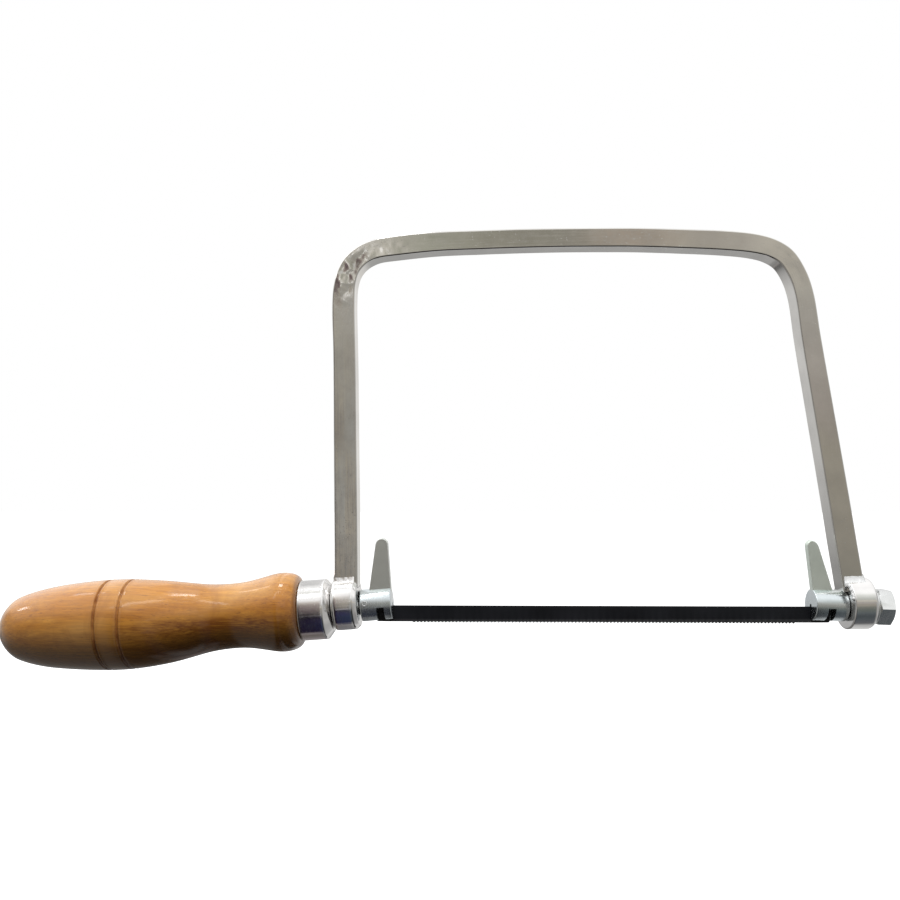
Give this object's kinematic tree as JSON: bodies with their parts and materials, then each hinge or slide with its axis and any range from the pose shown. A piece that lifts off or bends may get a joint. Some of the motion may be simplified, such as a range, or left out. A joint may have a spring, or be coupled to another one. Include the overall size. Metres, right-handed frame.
{
  "type": "coping saw",
  "caption": "Coping saw with a deep square-bar bow, swivelling blade holders with thumb levers, a thin pin-end blade and a turned wooden handle that tensions it.",
  "frame": {"origin": "middle of the underside of the bow's top bar, where the saw hangs on a peg", "axes": "+X from the handle to the front of the saw, +Z from the blade up to the top of the bow, Y across the bow"},
  "size_m": [0.3212, 0.0322, 0.1584],
  "materials": {
    "plated_bow": "bright nickel-chrome plate over ground steel, faint grinding lines",
    "zinc_plate": "satin bright zinc plate, faintly blue-green",
    "steel": "plain machined steel with light plating",
    "lacquered_wood": "clear gloss lacquer over honey-brown hardwood, long grain along the handle",
    "blued_steel": "black oxide, semi-matte"
  },
  "bodies": {
    "bow": {"bow_frame": "plated_bow", "rear_eye": "plated_bow", "front_eye": "plated_bow"},
    "handle": {"wood_handle": "lacquered_wood", "ferrule": "plated_bow", "handle_insert": "steel"},
    "tension_stud": {"rear_stud": "steel"},
    "rear_spigot": {"rear_blade_holder": "zinc_plate", "rear_lever": "zinc_plate", "rear_lock_pin": "steel"},
    "front_spigot": {"front_blade_holder": "zinc_plate", "front_lever": "zinc_plate", "front_bolt": "steel", "front_washer": "steel"},
    "blade": {"saw_blade": "blued_steel", "rear_blade_pin": "blued_steel", "front_blade_pin": "blued_steel"}
  },
  "joints": [
    {"name": "handle_turn", "type": "hinge", "parent": "bow", "child": "handle", "pos_m": [-0.09252, 0, -0.12997], "axis": [0.9975, 0, 0.0705], "range_deg": [-250, 0]},
    {"name": "tension_travel", "type": "slide", "parent": "bow", "child": "tension_stud", "axis": [0.9975, 0, 0.0705], "range_m": [0, 0.0007]},
    {"name": "rear_swivel", "type": "hinge", "parent": "tension_stud", "child": "rear_spigot", "pos_m": [-0.09252, 0, -0.12997], "axis": [0.9975, 0, 0.0705], "continuous": true},
    {"name": "front_swivel", "type": "hinge", "parent": "bow", "child": "front_spigot", "pos_m": [0.0813, 0, -0.12905], "axis": [0.9995, 0, -0.0314], "continuous": true},
    {"name": "blade_turn", "type": "hinge", "parent": "bow", "child": "blade", "pos_m": [0, 0, -0.12905], "axis": [1, 0, 0], "continuous": true}
  ],
  "couplings": [
    {"joint": "tension_travel", "follows": "handle_turn", "m_per_rad": -0.00015915},
    {"joint": "front_swivel", "follows": "rear_swivel", "ratio": 1},
    {"joint": "blade_turn", "follows": "rear_swivel", "ratio": 1}
  ]
}
